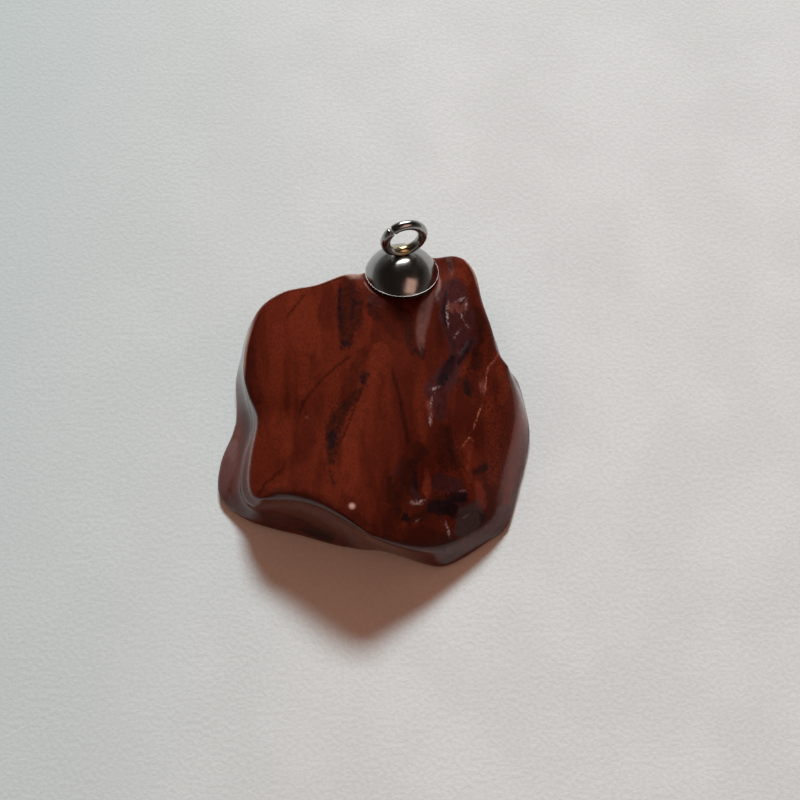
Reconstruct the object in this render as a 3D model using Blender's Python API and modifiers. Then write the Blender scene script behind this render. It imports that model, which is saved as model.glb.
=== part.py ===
"""Red jasper pendant: a polished freeform stone, a domed bead cap over its drill hole, and an eye pin.

The pendant lies on its flat back. +X is right, +Y runs to the loop end, +Z is up, and the origin is
the middle of the base of the whole pendant. Sizes below are in millimetres; meshes are in metres.
"""
import math

import bmesh
import bpy
import numpy as np
from mathutils import Matrix, Vector

MM = 0.001

# The stone's outline, clockwise from the right. Each station gives the face edge (x, y, z), the foot
# of the flank (x, y), how far the flank is hollowed between them, and the height of a ridge on it.
STATIONS = (
    (15.9, 2.9, 5.6, 16.9, 3.4, 0.0, 0.0),
    (16.3, -0.1, 5.0, 17.8, -0.3, -0.2, 0.0),
    (16.2, -2.7, 4.6, 18.1, -3.2, -0.2, 0.0),
    (15.7, -5.0, 4.2, 17.6, -5.8, 0.1, 0.0),
    (14.9, -7.6, 3.8, 16.8, -8.4, 0.3, 0.0),
    (14.5, -10.3, 3.4, 16.1, -11.2, 0.0, 0.0),
    (13.6, -12.9, 3.0, 15.0, -14.2, -0.2, 0.0),
    (11.4, -14.7, 3.2, 13.0, -15.6, 0.0, 0.0),
    (9.5, -15.9, 3.4, 10.8, -17.1, 0.1, 0.0),
    (7.8, -16.9, 4.0, 8.2, -18.5, -0.1, 0.0),
    (5.4, -17.5, 5.0, 5.9, -18.4, 0.0, 0.0),
    (3.0, -17.3, 6.4, 3.5, -17.6, 0.2, 0.0),
    (0.6, -17.0, 8.0, 0.7, -16.8, 0.3, 0.0),
    (-1.7, -15.9, 9.6, -1.8, -16.6, 0.6, 0.0),
    (-4.4, -14.1, 10.2, -4.9, -16.0, 0.9, 0.0),
    (-7.5, -12.7, 9.8, -8.4, -15.0, 1.0, 0.0),
    (-10.6, -12.0, 8.4, -11.8, -14.2, 0.7, 0.0),
    (-13.2, -11.7, 6.9, -15.2, -13.0, 0.2, 0.3),
    (-13.9, -9.7, 7.0, -18.0, -10.6, 1.1, 0.8),
    (-13.7, -6.7, 7.4, -18.1, -6.6, 1.4, 0.9),
    (-13.1, -2.9, 8.0, -16.7, -2.5, 1.1, 0.5),
    (-14.1, -0.6, 8.6, -16.6, 0.4, 0.6, 0.1),
    (-14.7, 2.1, 9.0, -16.8, 3.4, 0.3, 0.0),
    (-14.3, 5.6, 9.6, -16.1, 6.8, -0.2, 0.0),
    (-13.0, 9.3, 9.9, -14.3, 10.5, -0.4, 0.0),
    (-10.6, 11.3, 10.1, -11.5, 12.6, 0.2, 0.0),
    (-8.6, 11.9, 10.1, -9.2, 13.2, 0.6, 0.0),
    (-6.8, 12.3, 10.0, -7.0, 13.3, 0.8, 0.0),
    (-3.6, 13.7, 9.6, -3.8, 15.3, 0.2, 0.0),
    (-1.1, 14.6, 9.2, -1.2, 16.6, 0.0, 0.0),
    (0.6, 16.1, 9.0, 0.8, 17.3, 0.0, 0.0),
    (3.2, 17.4, 8.8, 3.4, 17.8, 0.2, 0.0),
    (7.0, 16.9, 8.3, 7.3, 17.9, 0.2, 0.0),
    (10.0, 15.8, 9.2, 10.7, 17.1, -0.2, 0.0),
    (11.4, 13.9, 9.2, 12.4, 15.1, 0.0, 0.0),
    (12.2, 10.7, 8.6, 13.2, 11.8, 0.3, 0.0),
    (13.4, 7.6, 7.7, 14.4, 8.5, 0.5, 0.0),
    (14.1, 5.2, 6.7, 15.2, 5.8, 0.4, 0.0),
)
CURVE_STEPS = 24                 # points worked out between two stations
PATCH_SIDE = 32                  # quads along each side of the middle patch of the face
AROUND = 4 * PATCH_SIDE
PATCH_TURN = 8                   # places by which the patch is turned, to keep its corners out of dents
FACE_MIDDLE = (0.5, -1.5)
FACE_HEIGHT = 10.5               # height of the face at its middle
FACE_FALL = 1.9                  # power of the fall from the middle to the edge
EDGE_ROUND = 0.75                # size of the round between face and flank
FOOT_LIFT = 0.9                  # height of the widest line above the flat back
BACK_INSET = 0.9                 # how far the flat back's edge lies inside the foot
FACE_RINGS = (0.93, 0.9, 0.86)   # shares of the way from the middle to the edge
FLANK_TOP = 0.94                 # share of the way up the flank where the edge's round begins
FLANK_RINGS = (0.0, 0.12, 0.26, 0.4, 0.53, 0.65, 0.76, 0.86)
PATCH_ROUNDS = 1500              # rounds of evening out the patch's places
RIDGE_AT = 0.66                  # how far up the flank its ridge runs
RIDGE_WIDTH = 0.15

# The ground seat of the bead cap and the drill hole through it.
SEAT = (3.0, 14.3, 7.9)
CAP_AXIS = (0.02, 0.429, 0.903)
SEAT_FLAT = 4.4
SEAT_BLEND = 6.6
SEAT_SOFTNESS = 0.35             # round of the line where the seat leaves the face
DRILL_DEPTH = 6.2
DRILL_TOP = 3.0                  # the cutter's top above the seat
GAP = 0.3                        # clearance between pieces that touch

# The flute that runs from the seat down the face, with a steep wall along its right side.
FLUTE_TOP = (6.7, 12.0)
FLUTE_END = (4.3, 0.5)
FLUTE_DEPTH = 0.95
FLUTE_WALL = (-0.45, 0.85)       # where the wall starts and ends, measured to the left
FLUTE_FLOOR = (1.5, 6.0)         # where the floor starts to rise, and meets the face
FLUTE_FADE = 0.3                 # share of the length at full depth
FLUTE_LEAD = 4.5                 # length over which it comes out of the seat

# Low swells and dips of the face: x, y, reach across, reach along, turn in degrees, height.
SWELLS = (
    (7.2, -1.0, 1.5, 5.0, 8.0, 0.45),
    (10.5, 9.5, 2.4, 3.6, 10.0, 0.4),
    (10.6, 2.6, 1.7, 5.0, 25.0, -0.45),
    (6.5, -10.5, 3.0, 2.2, 20.0, -0.5),
    (10.5, -11.5, 2.0, 2.6, 0.0, 0.35),
    (-9.5, 4.0, 3.5, 6.0, 15.0, 0.25),
    (-8.0, -7.5, 4.0, 2.5, -20.0, 0.3),
)

# The bead cap: a thin dome, a little flatter than half a ball, with a rounded lip.
CAP_RADIUS = 4.25
CAP_HEIGHT = 2.85
CAP_WALL = 0.4
CAP_HOLE = 0.95
CAP_ARC_POINTS = 7
CAP_LIP = 0.17                   # height of the straight part of the lip
CAP_LIP_ROUND = 0.12
CAP_AROUND = 44

# The eye pin: a wire loop whose end stops short of closing, a neck below it, and its shank.
WIRE_RADIUS = 0.56
EYE_RADIUS = 2.16                # middle of the wire
EYE_TURN = 17.0                  # degrees about the cap's axis
EYE_GAP_AT = 132.0               # degrees from the loop's right side, counterclockwise
EYE_GAP = 9.0                    # degrees
EYE_POINTS = 44
EYE_SIDES = 4                    # bevel resolution of the wire
EYE_LIFT = -0.1                  # wire's underside above the top of the cap
EYE_LEAN = 10.0                  # degrees that the loop leans towards the face
NECK_RADIUS = 0.78
SHANK_RADIUS = 0.48
SHANK_DEPTH = 5.6                # length of the shank below the seat
SHANK_SIDES = 16
SHARP_ANGLE = 50.0               # degrees beyond which an edge is shaded sharp

COLLECTION = "red_jasper_pendant"
CUTTERS = "cutters"


def clear_scene():
    """Remove every object of the open scene."""
    for item in list(bpy.data.objects):
        bpy.data.objects.remove(item, do_unlink=True)


def make_collection(name):
    """Return a new collection linked to the scene."""
    collection = bpy.data.collections.new(name)
    bpy.context.scene.collection.children.link(collection)
    return collection


def make_material(name, colour, roughness, metallic):
    """Return a Principled BSDF material."""
    material = bpy.data.materials.new(name)
    material.use_nodes = True
    shader = material.node_tree.nodes["Principled BSDF"]
    shader.inputs["Base Color"].default_value = (*colour, 1.0)
    shader.inputs["Roughness"].default_value = roughness
    shader.inputs["Metallic"].default_value = metallic
    return material


def smoothstep(low, high, value):
    """Rise smoothly from 0 at low to 1 at high."""
    share = np.clip((value - low) / (high - low), 0.0, 1.0)
    return share * share * (3.0 - 2.0 * share)


def closed_curve(points, count):
    """Return count rows evenly spaced along a smooth closed curve through the rows of points."""
    steps = np.linalg.norm(np.roll(points, -1, axis=0)[:, :2] - points[:, :2], axis=1)
    dense = []
    for index in range(len(points)):
        before, start, end, after = (points[(index + k) % len(points)] for k in (-1, 0, 1, 2))
        span = steps[index]
        lead = steps[index - 1]
        tail = steps[(index + 1) % len(points)]
        slope_start = (end - before) / (span + lead) * span
        slope_end = (after - start) / (span + tail) * span
        for share in np.arange(CURVE_STEPS) / CURVE_STEPS:
            square, cube = share ** 2, share ** 3
            dense.append((2 * cube - 3 * square + 1) * start + (cube - 2 * square + share) * slope_start
                         + (3 * square - 2 * cube) * end + (cube - square) * slope_end)
    dense = np.array(dense + [dense[0]])
    travelled = np.concatenate([[0.0], np.cumsum(np.linalg.norm(np.diff(dense[:, :2], axis=0), axis=1))])
    wanted = np.arange(count) / count * travelled[-1]
    return np.stack([np.interp(wanted, travelled, column) for column in dense.T], axis=1)


def swell_height(across, along):
    """Return how far the swells and dips raise the face at each place."""
    height = np.zeros_like(across)
    for x, y, reach_across, reach_along, turn, rise in SWELLS:
        angle = math.radians(turn)
        side = (across - x) * math.cos(angle) + (along - y) * math.sin(angle)
        length = (along - y) * math.cos(angle) - (across - x) * math.sin(angle)
        height += rise * np.exp(-(side / reach_across) ** 2 - (length / reach_along) ** 2)
    return height


def flute_depth(across, along):
    """Return how deep the flute is at each place: steep on its right side, easing out to the left."""
    top, end = np.array(FLUTE_TOP), np.array(FLUTE_END)
    length = np.linalg.norm(end - top)
    run = (end - top) / length
    travel = (across - top[0]) * run[0] + (along - top[1]) * run[1]
    left = (across - top[0]) * run[1] - (along - top[1]) * run[0]
    wall = smoothstep(*FLUTE_WALL, left)
    floor = 1.0 - smoothstep(*FLUTE_FLOOR, left)
    depth = smoothstep(-FLUTE_LEAD, 0.0, travel) - smoothstep(FLUTE_FADE * length, length, travel)
    return FLUTE_DEPTH * wall * floor * depth


def shape_top(points):
    """Add the swells to points of the face or its edge, and cut the flute and the cap's seat."""
    across, along, height = points[:, 0], points[:, 1], points[:, 2]
    height = height + swell_height(across, along) - flute_depth(across, along)
    seat, axis = np.array(SEAT), np.array(CAP_AXIS)
    plane = seat[2] - (axis[0] * (across - seat[0]) + axis[1] * (along - seat[1])) / axis[2]
    above = height - plane
    ground = (above + np.sqrt(above ** 2 + SEAT_SOFTNESS ** 2)) / 2
    distance = np.sqrt((across - seat[0]) ** 2 + ((along - seat[1]) / axis[2]) ** 2)
    share = 1.0 - smoothstep(SEAT_FLAT, SEAT_BLEND, distance)
    return np.column_stack([across, along, height - ground * share])


def face_points(flat, rim):
    """Return the face's points over flat places, from the height of the edge in each direction."""
    middle = np.array(FACE_MIDDLE)
    spokes = rim[:, :2] - middle
    angles = np.arctan2(spokes[:, 1], spokes[:, 0])
    order = np.argsort(angles)
    edge = np.column_stack([np.linalg.norm(spokes, axis=1), rim[:, 2]])[order]
    offset = flat - middle
    angle = np.arctan2(offset[:, 1], offset[:, 0])
    far, high = (np.interp(angle, angles[order], column, period=2 * math.pi) for column in edge.T)
    reach = np.linalg.norm(offset, axis=1) / far
    return shape_top(np.column_stack([flat, FACE_HEIGHT + (high - FACE_HEIGHT) * reach ** FACE_FALL]))


def face_ring(rim, reach):
    """Return a ring of face points at one share of the way from the middle to the edge."""
    middle = np.array(FACE_MIDDLE)
    return face_points(middle + (rim[:, :2] - middle) * reach, rim)


def patch_border():
    """Return the rows and columns of the patch's border in the order of the ring around it."""
    side = PATCH_SIDE
    border = [(side, row) for row in range(side)]
    border += [(column, side) for column in range(side, 0, -1)]
    border += [(0, row) for row in range(side, 0, -1)]
    border += [(column, 0) for column in range(side)]
    return border[-PATCH_TURN:] + border[:-PATCH_TURN]


def patch_places(ring):
    """Spread a square grid of flat places evenly inside a ring, so that no pole is left in the middle."""
    grid = np.tile(ring.mean(axis=0), (PATCH_SIDE + 1, PATCH_SIDE + 1, 1))
    columns, rows = np.array(patch_border()).T
    for _ in range(PATCH_ROUNDS):
        grid[columns, rows] = ring
        grid[1:-1, 1:-1] = (grid[2:, 1:-1] + grid[:-2, 1:-1] + grid[1:-1, 2:] + grid[1:-1, :-2]) / 4
    return grid


def build_stone(collection, material):
    """Loft the stone from its stations: flat back, hollowed flanks, rounded edge and polished face."""
    table = closed_curve(np.array(STATIONS), AROUND)
    foot, hollow, ridge = table[:, 3:5], table[:, 5:6], table[:, 6:7]
    rim = shape_top(table[:, :3])
    tangent = np.roll(foot, -1, axis=0) - np.roll(foot, 1, axis=0)
    tangent = tangent / np.linalg.norm(tangent, axis=1, keepdims=True)
    inward = np.column_stack([tangent[:, 1], -tangent[:, 0]])

    def flank_ring(share):
        """Return the ring at one share of the way up the flank."""
        flat = foot + (rim[:, :2] - foot) * share
        dent = hollow * math.sin(math.pi * share) - ridge * math.exp(-((share - RIDGE_AT) / RIDGE_WIDTH) ** 2)
        height = FOOT_LIFT + (rim[:, 2] - FOOT_LIFT) * share
        return np.column_stack([flat + inward * dent, height])

    def back_ring(share):
        """Return the ring that rounds the foot over into the flat back."""
        angle = share * math.pi / 2
        flat = foot + inward * BACK_INSET * (1.0 - math.cos(angle))
        return np.column_stack([flat, np.full(AROUND, FOOT_LIFT * (1.0 - math.sin(angle)))])

    middle = np.array(FACE_MIDDLE)
    reach = 1.0 - EDGE_ROUND / np.linalg.norm(rim[:, :2] - middle, axis=1).mean()
    inner, outer = face_ring(table[:, :3], reach), flank_ring(FLANK_TOP)
    rings = [back_ring(share) for share in (1.0, 0.75, 0.5, 0.25)]
    rings += [flank_ring(share) for share in FLANK_RINGS]
    for share in (0.0, 0.25, 0.5, 0.75):
        rings.append(outer * (1 - share) ** 2 + rim * 2 * share * (1 - share) + inner * share ** 2)
    rings += [inner] + [face_ring(table[:, :3], place) for place in FACE_RINGS]

    mesh = bmesh.new()
    loops = [[mesh.verts.new(Vector(point) * MM) for point in ring] for ring in rings]
    for lower, upper in zip(loops, loops[1:]):
        for index in range(AROUND):
            after = (index + 1) % AROUND
            mesh.faces.new((lower[index], lower[after], upper[after], upper[index]))
    mesh.faces.new(loops[0])

    places = patch_places(rings[-1][:, :2])
    patch = face_points(places.reshape(-1, 2), table[:, :3]).reshape(*places.shape[:2], 3)
    verts = {place: loops[-1][index] for index, place in enumerate(patch_border())}
    for column, row in np.ndindex(*patch.shape[:2]):
        if (column, row) not in verts:
            verts[column, row] = mesh.verts.new(Vector(patch[column, row]) * MM)
    for column, row in np.ndindex(PATCH_SIDE, PATCH_SIDE):
        mesh.faces.new((verts[column, row], verts[column + 1, row],
                        verts[column + 1, row + 1], verts[column, row + 1]))
    bmesh.ops.recalc_face_normals(mesh, faces=mesh.faces)

    return new_object("stone", mesh, collection, material)


def new_object(name, mesh, collection, material):
    """Turn a bmesh into a smooth shaded object in a collection."""
    data = bpy.data.meshes.new(name)
    mesh.to_mesh(data)
    mesh.free()
    data.shade_smooth()
    data.set_sharp_from_angle(angle=math.radians(SHARP_ANGLE))
    data.materials.append(material)
    made = bpy.data.objects.new(name, data)
    collection.objects.link(made)
    return made


def build_bead_cap(collection, material):
    """Turn the cap's closed profile, a dome with a hole at its top and a rolled lip at its rim."""
    radius = (CAP_RADIUS ** 2 + CAP_HEIGHT ** 2) / (2 * CAP_HEIGHT)
    centre = CAP_HEIGHT - radius

    def arc(sphere, reach_start, reach_end):
        """Return profile points of the dome between two distances from the axis."""
        start, end = math.asin(reach_start / sphere), math.asin(reach_end / sphere)
        angles = np.linspace(start, end, CAP_ARC_POINTS)
        return [(sphere * math.sin(a), centre + sphere * math.cos(a)) for a in angles]

    outer = arc(radius, CAP_HOLE, CAP_RADIUS - CAP_LIP_ROUND)
    lip = [(CAP_RADIUS, CAP_LIP), (CAP_RADIUS, CAP_LIP_ROUND / 2), (CAP_RADIUS - CAP_LIP_ROUND, 0.0),
           (CAP_RADIUS - CAP_WALL, 0.0)]
    inner = arc(radius - CAP_WALL, CAP_HOLE, CAP_RADIUS - CAP_WALL - CAP_LIP_ROUND)[::-1]
    profile = outer + lip + inner

    mesh = bmesh.new()
    verts = [mesh.verts.new((x * MM, 0.0, z * MM)) for x, z in profile]
    for start, end in zip(verts, verts[1:] + verts[:1]):
        mesh.edges.new((start, end))
    cap = new_object("bead_cap", mesh, collection, material)
    screw = cap.modifiers.new("turn", "SCREW")
    screw.axis = "Z"
    screw.steps = CAP_AROUND
    screw.render_steps = CAP_AROUND
    screw.use_merge_vertices = True
    screw.merge_threshold = 1e-6
    screw.use_smooth_shade = True
    return cap


def upright(name, base_radius, top_radius, bottom, top, collection):
    """Return a hidden, closed, round solid that stands along the local Z axis."""
    mesh = bmesh.new()
    middle = Matrix.Translation((0.0, 0.0, (bottom + top) / 2 * MM))
    bmesh.ops.create_cone(mesh, cap_ends=True, segments=SHANK_SIDES, radius1=base_radius * MM,
                          radius2=top_radius * MM, depth=(top - bottom) * MM, matrix=middle)
    data = bpy.data.meshes.new(name)
    mesh.to_mesh(data)
    mesh.free()
    made = bpy.data.objects.new(name, data)
    collection.objects.link(made)
    made.hide_render = True
    made.display_type = "WIRE"
    return made


def combine(target, tool, operation):
    """Join a hidden solid to a piece, or cut it away."""
    change = target.modifiers.new(tool.name, "BOOLEAN")
    change.operation = operation
    change.solver = "EXACT"
    change.object = tool


def build_eye_pin(collection, cutters, material):
    """Bend the wire loop, make it a mesh, and join it with its neck and shank."""
    foot = GAP + CAP_HEIGHT + EYE_LIFT
    rise = WIRE_RADIUS + EYE_RADIUS
    lean = math.radians(EYE_LEAN)
    curve = bpy.data.curves.new("eye_pin", "CURVE")
    curve.dimensions = "3D"
    curve.bevel_depth = WIRE_RADIUS * MM
    curve.bevel_resolution = EYE_SIDES
    curve.use_fill_caps = True
    spline = curve.splines.new("POLY")
    spline.points.add(EYE_POINTS - 1)
    start = EYE_GAP_AT + EYE_GAP / 2
    for index, point in enumerate(spline.points):
        angle = math.radians(start + (360.0 - EYE_GAP) * index / (EYE_POINTS - 1))
        height = rise + EYE_RADIUS * math.sin(angle)
        place = (EYE_RADIUS * math.cos(angle), -height * math.sin(lean), foot + height * math.cos(lean))
        point.co = (*(Vector(place) * MM), 1.0)
    wire = bpy.data.objects.new("wire", curve)
    collection.objects.link(wire)
    bpy.context.view_layer.update()
    data = bpy.data.meshes.new_from_object(wire.evaluated_get(bpy.context.evaluated_depsgraph_get()))
    bpy.data.objects.remove(wire, do_unlink=True)

    mesh = bmesh.new()
    mesh.from_mesh(data)
    bmesh.ops.remove_doubles(mesh, verts=mesh.verts, dist=1e-7)
    bmesh.ops.recalc_face_normals(mesh, faces=mesh.faces)
    eye = new_object("eye_pin", mesh, collection, material)
    neck = upright("neck", CAP_HOLE - GAP, NECK_RADIUS, GAP + CAP_HEIGHT - CAP_WALL, foot + WIRE_RADIUS, cutters)
    shank = upright("shank", SHANK_RADIUS, SHANK_RADIUS, -SHANK_DEPTH, foot, cutters)
    combine(eye, neck, "UNION")
    combine(eye, shank, "UNION")
    return [eye, neck, shank]


def drill_stone(stone, cutters):
    """Cut the drill hole that takes the shank."""
    radius = SHANK_RADIUS + GAP
    drill = upright("drill", radius, radius, -DRILL_DEPTH, DRILL_TOP, cutters)
    combine(stone, drill, "DIFFERENCE")
    return drill


def axis_frame():
    """Return the seat's place and turn: local Z along the cap's axis, local X to the right."""
    upward = Vector(CAP_AXIS).normalized()
    sideways = (Vector((1.0, 0.0, 0.0)) - upward * upward.x).normalized()
    forward = upward.cross(sideways)
    turn = Matrix((sideways, forward, upward)).transposed().to_4x4()
    return Matrix.Translation(Vector(SEAT) * MM) @ turn


def centre_on_base(root, parts):
    """Move the whole pendant so that the middle of its base is the origin."""
    bpy.context.view_layer.update()
    graph = bpy.context.evaluated_depsgraph_get()
    corners = []
    for part in parts:
        evaluated = part.evaluated_get(graph)
        corners += [evaluated.matrix_world @ vertex.co for vertex in evaluated.data.vertices]
    spread = np.array(corners)
    low, high = spread.min(axis=0), spread.max(axis=0)
    root.location = (-(low[0] + high[0]) / 2, -(low[1] + high[1]) / 2, -low[2])
    bpy.context.view_layer.update()


def main():
    """Build the pendant's three pieces and centre them on the base."""
    clear_scene()
    collection = make_collection(COLLECTION)
    cutters = make_collection(CUTTERS)
    jasper = make_material("jasper", (0.10, 0.017, 0.008), 0.16, 0.0)
    plated = make_material("plated_metal", (0.62, 0.61, 0.59), 0.14, 1.0)

    root = bpy.data.objects.new("pendant", None)
    collection.objects.link(root)
    seat = bpy.data.objects.new("cap_seat", None)
    collection.objects.link(seat)
    seat.parent = root
    seat.matrix_local = axis_frame()

    stone = build_stone(collection, jasper)
    stone.parent = root
    cap = build_bead_cap(collection, plated)
    cap.parent = seat
    cap.location = (0.0, 0.0, GAP * MM)
    eye_parts = build_eye_pin(collection, cutters, plated)
    for piece in eye_parts:
        piece.parent = seat
        piece.rotation_euler = (0.0, 0.0, math.radians(EYE_TURN))
    drill_stone(stone, cutters).parent = seat
    centre_on_base(root, (stone, cap, eye_parts[0]))


main()
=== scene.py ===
"""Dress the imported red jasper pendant: its polished stone, its domed bead cap and its eye loop.

Places are metres in the pendant's own frame. Sizes of the metal pieces and of the finishes' patterns
are millimetres, as a jeweller gives them. Places of the stone's markings are pixels of the
photograph, which PhotoView lays onto the stone.
"""
import enum
import functools
import logging
import math
from dataclasses import dataclass
from typing import Any

import bmesh
import bpy
import numpy as np
from mathutils import Matrix, Quaternion, Vector, noise


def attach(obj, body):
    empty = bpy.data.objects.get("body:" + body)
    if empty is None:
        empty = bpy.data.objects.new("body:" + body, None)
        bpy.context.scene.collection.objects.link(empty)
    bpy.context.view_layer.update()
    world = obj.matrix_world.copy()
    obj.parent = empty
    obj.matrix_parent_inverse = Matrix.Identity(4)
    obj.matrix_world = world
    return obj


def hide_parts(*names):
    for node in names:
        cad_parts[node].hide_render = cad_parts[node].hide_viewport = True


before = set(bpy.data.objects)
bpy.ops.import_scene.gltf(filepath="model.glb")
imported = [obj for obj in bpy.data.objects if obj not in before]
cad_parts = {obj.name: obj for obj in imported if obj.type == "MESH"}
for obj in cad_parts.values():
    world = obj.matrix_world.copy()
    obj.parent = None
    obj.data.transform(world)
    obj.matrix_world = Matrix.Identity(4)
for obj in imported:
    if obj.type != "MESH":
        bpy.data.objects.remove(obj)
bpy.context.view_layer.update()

MM = 0.001
SAME_PLACE = 1e-7
logger = logging.getLogger("pendant")

Array = np.ndarray
Pair = tuple[float, float]
Point = tuple[float, float, float]
Colour = tuple[float, float, float]
Chain = tuple[tuple[float, ...], ...]
Profile = list[Pair]
Material = bpy.types.Material
Mesh = bpy.types.Mesh
Piece = bpy.types.Object
Socket = bpy.types.NodeSocket
Feed = Any  # a socket to link, or a plain value


def smooth_share(low: float, high: float, value: Array) -> Array:
    """Ease values between low and high to shares from 0 to 1."""
    share = np.clip((value - low) / (high - low), 0.0, 1.0)
    return share * share * (3.0 - 2.0 * share)


def new_object(name: str, data: Any) -> Piece:
    """Make an object and put it into the scene.

    Args:
        name: Its name.
        data: Its mesh, lamp or camera.

    Returns:
        The object.
    """
    made = bpy.data.objects.new(name, data)
    bpy.context.scene.collection.objects.link(made)
    return made


def read_mesh(mesh: Mesh) -> tuple[Array, Array]:
    """Read the places and the normals of a mesh's vertices, in rows of x, y and z."""
    verts = mesh.vertices
    return np.array([vert.co for vert in verts]), np.array([vert.normal for vert in verts])


def write_places(mesh: Mesh, places: Array) -> None:
    """Move a mesh's vertices to new places, in rows of x, y and z."""
    mesh.vertices.foreach_set("co", places.astype(np.float32).ravel())
    mesh.update()


class Bench:
    """A bench on which one node tree is wired."""

    def __init__(self, tree: bpy.types.NodeTree) -> None:
        """Keep the tree that is wired."""
        self.tree = tree

    def add(self, kind: str, inputs: dict[Any, Feed] | None = None, **settings: Any) -> bpy.types.Node:
        """Put a node on the bench.

        Args:
            kind: Blender's own name of the node.
            inputs: What each socket is fed, by its name or number.
            settings: The node's properties.

        Returns:
            The new node.
        """
        node = self.tree.nodes.new(kind)
        for name, value in settings.items():
            setattr(node, name, value)
        for key, feed in (inputs or {}).items():
            socket = node.inputs[key]
            if isinstance(feed, Socket):
                self.tree.links.new(feed, socket)
            else:
                socket.default_value = (*feed, 1.0) if socket.type == "RGBA" else feed
        return node

    def reckon(self, operation: str, first: Feed, second: Feed = 0.0, third: Feed = 0.0) -> Socket:
        """Do one of Blender's sums with up to three numbers."""
        feeds = {0: first, 1: second, 2: third}
        return self.add("ShaderNodeMath", feeds, operation=operation).outputs[0]

    def product(self, *feeds: Feed) -> Socket:
        """Multiply numbers."""
        return functools.reduce(lambda first, second: self.reckon("MULTIPLY", first, second), feeds)

    def axis(self, vector: Socket, name: str) -> Socket:
        """Give a vector's X, Y or Z."""
        return self.add("ShaderNodeSeparateXYZ", {0: vector}).outputs[name]

    def band(self, value: Socket, low: float, high: float, start: float = 0.0, end: float = 1.0) -> Socket:
        """Ease a value between low and high to one between start and end."""
        values = {"Value": value, "From Min": low, "From Max": high, "To Min": start, "To Max": end}
        return self.add("ShaderNodeMapRange", values, interpolation_type="SMOOTHSTEP").outputs[0]

    def blend(self, share: Socket, first: Feed, second: Feed) -> Socket:
        """Lay a share of a second colour over the first."""
        return self.add("ShaderNodeMix", {0: share, 6: first, 7: second}, data_type="RGBA").outputs[2]


@dataclass(frozen=True)
class Pattern:
    """A soft random pattern.

    Its scale is its changes in each millimetre, and detail and rough are the number and the
    strength of its finer layers. Its places are stretched, turned in degrees and moved first.
    """

    scale: float
    detail: float
    rough: float
    bend: float = 0.0
    stretch: Point = (1.0, 1.0, 1.0)
    turn: Point = (0.0, 0.0, 0.0)
    shift: Point = (0.0, 0.0, 0.0)


class FinishBench(Bench):
    """A bench for a material, whose colour is built up from a ground in layers."""

    def __init__(self, name: str, ground: Colour) -> None:
        """Start a material with an empty node tree.

        Args:
            name: The material's name.
            ground: Its lowest colour.
        """
        self.material = bpy.data.materials.new(name)
        self.material.use_nodes = True
        super().__init__(self.material.node_tree)
        self.tree.nodes.clear()
        self.colour: Feed = ground
        place = self.add("ShaderNodeTexCoord").outputs["Object"]
        millimetres = {0: place, "Scale": 1 / MM}
        self.place = self.add("ShaderNodeVectorMath", millimetres, operation="SCALE").outputs[0]

    def cloud(self, pattern: Pattern) -> Socket:
        """Wire up a random pattern.

        Args:
            pattern: The pattern.

        Returns:
            The socket of its value, which is about 0 to 1.
        """
        turn = tuple(math.radians(angle) for angle in pattern.turn)
        laid = {"Vector": self.place, "Location": pattern.shift, "Rotation": turn, "Scale": pattern.stretch}
        place = self.add("ShaderNodeMapping", laid).outputs[0]
        values = {
            "Vector": place, "Scale": pattern.scale, "Detail": pattern.detail,
            "Roughness": pattern.rough, "Distortion": pattern.bend,
        }
        return self.add("ShaderNodeTexNoise", values).outputs["Fac"]

    def lay(self, share: Socket, over: Feed) -> None:
        """Lay a share of one more colour over the colours so far."""
        self.colour = self.blend(share, self.colour, over)

    def read(self, name: str) -> Socket:
        """Give the number that the mesh carries under this name."""
        return self.add("ShaderNodeAttribute", attribute_name=name).outputs["Fac"]

    def surface(self, rough: Feed, relief: Socket, depth: float, others: dict[str, float]) -> Material:
        """Finish the material.

        Args:
            rough: Its roughness.
            relief: Its fine relief.
            depth: Depth of that relief in millimetres.
            others: Its other values, by Blender's names.

        Returns:
            The material.
        """
        bump = self.add("ShaderNodeBump", {"Height": relief, "Strength": 1.0, "Distance": depth * MM})
        given = {"Base Color": self.colour, "Roughness": rough, "Normal": bump.outputs[0], **others}
        shader = self.add("ShaderNodeBsdfPrincipled", given)
        self.add("ShaderNodeOutputMaterial", {"Surface": shader.outputs[0]})
        return self.material


@dataclass(frozen=True)
class PhotoView:
    """Where the photograph was taken from, and where each point of the pendant lies in it."""

    target: Point = (0.002912, -0.001315, 0.010)
    distance: float = 0.120
    elevation: float = 74.0
    lens: float = 49.248
    sensor: float = 36.0
    pixels_wide: float = 800.0

    def towards(self) -> Vector:
        """Give the direction from the pendant to the camera."""
        angle = math.radians(self.elevation)
        return Vector((0.0, -math.cos(angle), math.sin(angle)))

    def place_camera(self) -> None:
        """Set up the camera as the scene's own."""
        data = bpy.data.cameras.new("photo_view")
        data.sensor_width = self.sensor
        data.lens = self.lens
        data.clip_start = MM
        camera = new_object("photo_view", data)
        camera.location = Vector(self.target) + self.towards() * self.distance
        camera.rotation_euler = (math.radians(90.0 - self.elevation), 0.0, 0.0)
        bpy.context.scene.camera = camera

    def facing(self, normals: Array) -> Array:
        """Give how far normals turn to the camera, from -1 to 1."""
        return normals @ np.array(self.towards())

    def pixels(self, points: Array) -> Array:
        """Find where points lie in the photograph.

        Args:
            points: Rows of x, y and z in metres.

        Returns:
            Rows of pixels, counted right and down from the top left corner.
        """
        towards = np.array(self.towards())
        upward = np.array((0.0, towards[2], -towards[1]))
        offset = points - np.array(self.target)
        depth = self.distance - offset @ towards
        scale = self.pixels_wide * self.lens / self.sensor / depth
        middle = self.pixels_wide / 2
        return np.column_stack((middle + scale * offset[:, 0], middle - scale * (offset @ upward)))


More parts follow.
